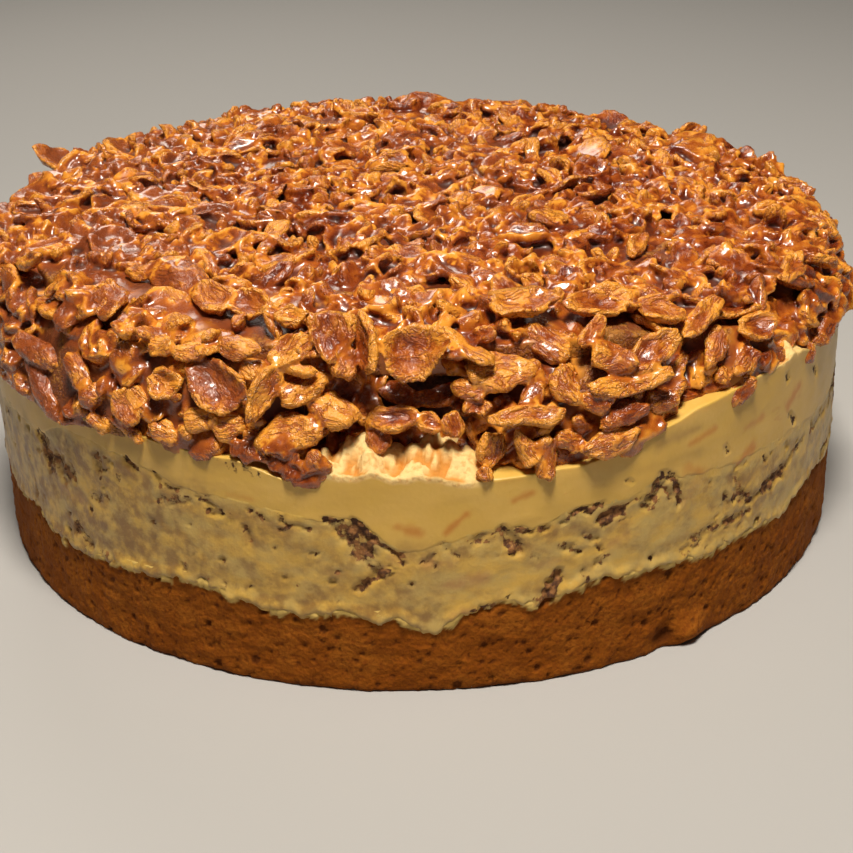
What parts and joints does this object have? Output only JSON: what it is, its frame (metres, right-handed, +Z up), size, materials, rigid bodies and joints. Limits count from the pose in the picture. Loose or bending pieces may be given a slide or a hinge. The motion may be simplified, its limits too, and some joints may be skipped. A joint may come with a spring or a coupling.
{
  "type": "ice cream cake",
  "caption": "Round layered ice cream cake on a sponge base, with crumb-filled and smooth ice cream and a chocolate corn flake topping broken away at the front.",
  "frame": {"origin": "middle of the cake's flat underside", "axes": "+Z up through the middle of the cake; -Y towards the front, where the topping has broken away"},
  "size_m": [0.2344, 0.2343, 0.0879],
  "materials": {
    "sponge": "matte, porous baked sponge",
    "crumb_ice_cream": "soft, uneven, with brown crumbs",
    "smooth_ice_cream": "soft satin",
    "chocolate_flakes": "glossy chocolate coating with amber edges"
  },
  "bodies": {
    "root": {"sponge_base": "sponge", "chunky_cream": "crumb_ice_cream", "smooth_cream": "smooth_ice_cream", "flake_topping": "chocolate_flakes"}
  },
  "joints": []
}
